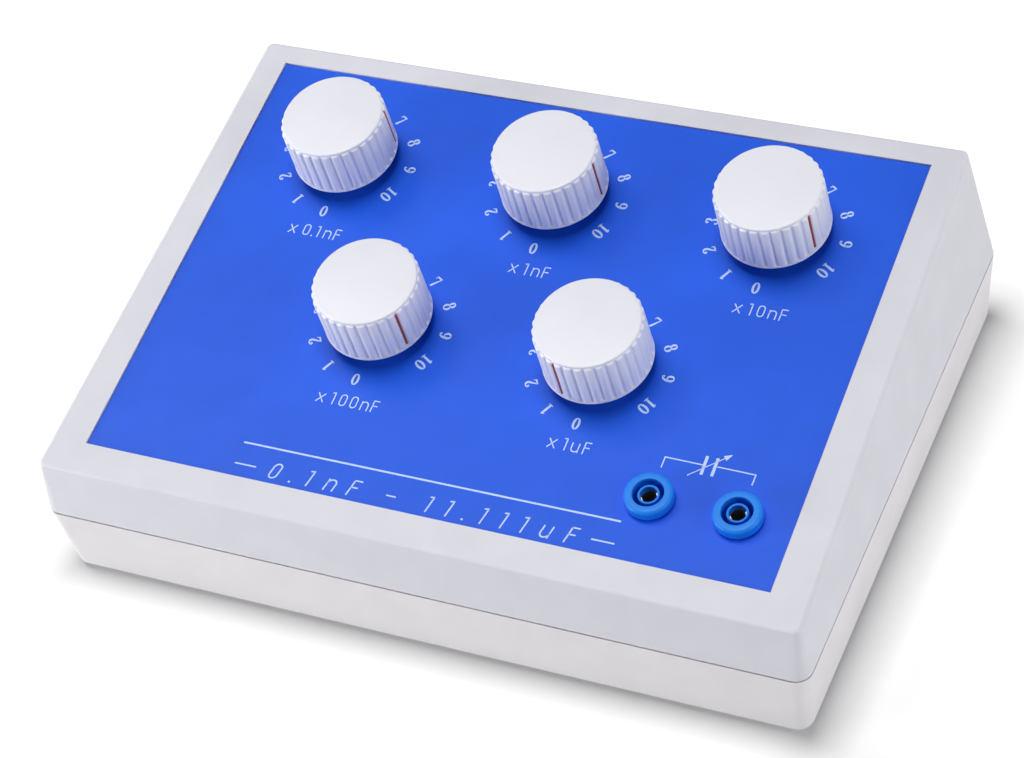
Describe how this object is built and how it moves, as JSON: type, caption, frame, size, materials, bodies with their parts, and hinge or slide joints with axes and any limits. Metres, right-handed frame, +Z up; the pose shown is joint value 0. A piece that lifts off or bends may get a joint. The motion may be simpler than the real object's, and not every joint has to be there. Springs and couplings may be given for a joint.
{
  "type": "capacitance decade box",
  "caption": "Sloped two-part desk case with a blue panel, fluted rotary dials that set a capacitance in decades, and shrouded sockets for test plugs.",
  "frame": {"origin": "on the table, under the middle of the case", "axes": "+X to the user's right, +Y to the back, +Z up"},
  "size_m": [0.2, 0.148, 0.0741],
  "materials": {
    "case_grey": "fine moulded texture",
    "base_grey": "fine moulded texture",
    "panel_blue": "satin printed film",
    "panel_aluminium": "brushed",
    "knob_white": "satin",
    "pointer_red": "painted",
    "socket_blue": "satin",
    "zinc_steel": "zinc plated",
    "detent_steel": "polished",
    "switch_zinc": "die cast",
    "brass": "machined",
    "contact_nickel": "nickel plated",
    "contact_tin": "tinned",
    "rotor_nylon": "moulded",
    "wafer_brown": "laminate",
    "board_green": "solder resist",
    "capacitor_red": "moulded box",
    "lead_black": "satin",
    "foot_rubber": "moulded"
  },
  "bodies": {
    "case": {"upper_shell": "case_grey", "lower_shell": "base_grey", "case_screws": "zinc_steel", "rubber_feet": "foot_rubber", "panel_film": "panel_blue", "panel_plate": "panel_aluminium", "panel_screws": "zinc_steel", "switch_housing_1": "switch_zinc", "switch_housing_2": "switch_zinc", "switch_housing_3": "switch_zinc", "switch_housing_4": "switch_zinc", "switch_housing_5": "switch_zinc", "switch_washers": "zinc_steel", "switch_nuts": "zinc_steel", "switch_wafers": "wafer_brown", "switch_rivets": "zinc_steel", "switch_contacts": "contact_tin", "circuit_board": "board_green", "capacitors_1": "capacitor_red", "capacitors_2": "capacitor_red", "capacitors_3": "capacitor_red", "capacitors_4": "capacitor_red", "capacitors_5": "capacitor_red", "socket_housings": "socket_blue", "socket_sleeves": "socket_blue", "socket_contacts": "contact_nickel", "socket_nuts": "zinc_steel", "socket_leads": "lead_black"},
    "dial_1": {"knob_1": "knob_white", "pointer_1": "pointer_red", "spindle_1": "brass", "rotor_1": "rotor_nylon", "wiper_1": "brass", "detent_1": "detent_steel"},
    "dial_2": {"knob_2": "knob_white", "pointer_2": "pointer_red", "spindle_2": "brass", "rotor_2": "rotor_nylon", "wiper_2": "brass", "detent_2": "detent_steel"},
    "dial_3": {"knob_3": "knob_white", "pointer_3": "pointer_red", "spindle_3": "brass", "rotor_3": "rotor_nylon", "wiper_3": "brass", "detent_3": "detent_steel"},
    "dial_4": {"knob_4": "knob_white", "pointer_4": "pointer_red", "spindle_4": "brass", "rotor_4": "rotor_nylon", "wiper_4": "brass", "detent_4": "detent_steel"},
    "dial_5": {"knob_5": "knob_white", "pointer_5": "pointer_red", "spindle_5": "brass", "rotor_5": "rotor_nylon", "wiper_5": "brass", "detent_5": "detent_steel"}
  },
  "joints": [
    {"name": "dial_1_turn", "type": "hinge", "parent": "case", "child": "dial_1", "pos_m": [-0.05846, 0.03291, 0.05457], "axis": [0, -0.1676, 0.9859], "range_deg": [-60, 240]},
    {"name": "dial_2_turn", "type": "hinge", "parent": "case", "child": "dial_2", "pos_m": [0, 0.03291, 0.05457], "axis": [0, -0.1676, 0.9859], "range_deg": [-30, 270]},
    {"name": "dial_3_turn", "type": "hinge", "parent": "case", "child": "dial_3", "pos_m": [0.05846, 0.03291, 0.05457], "axis": [0, -0.1676, 0.9859], "range_deg": [0, 300]},
    {"name": "dial_4_turn", "type": "hinge", "parent": "case", "child": "dial_4", "pos_m": [-0.02923, -0.01351, 0.04668], "axis": [0, -0.1676, 0.9859], "range_deg": [0, 300]},
    {"name": "dial_5_turn", "type": "hinge", "parent": "case", "child": "dial_5", "pos_m": [0.02923, -0.01351, 0.04668], "axis": [0, -0.1676, 0.9859], "range_deg": [-270, 30]}
  ]
}
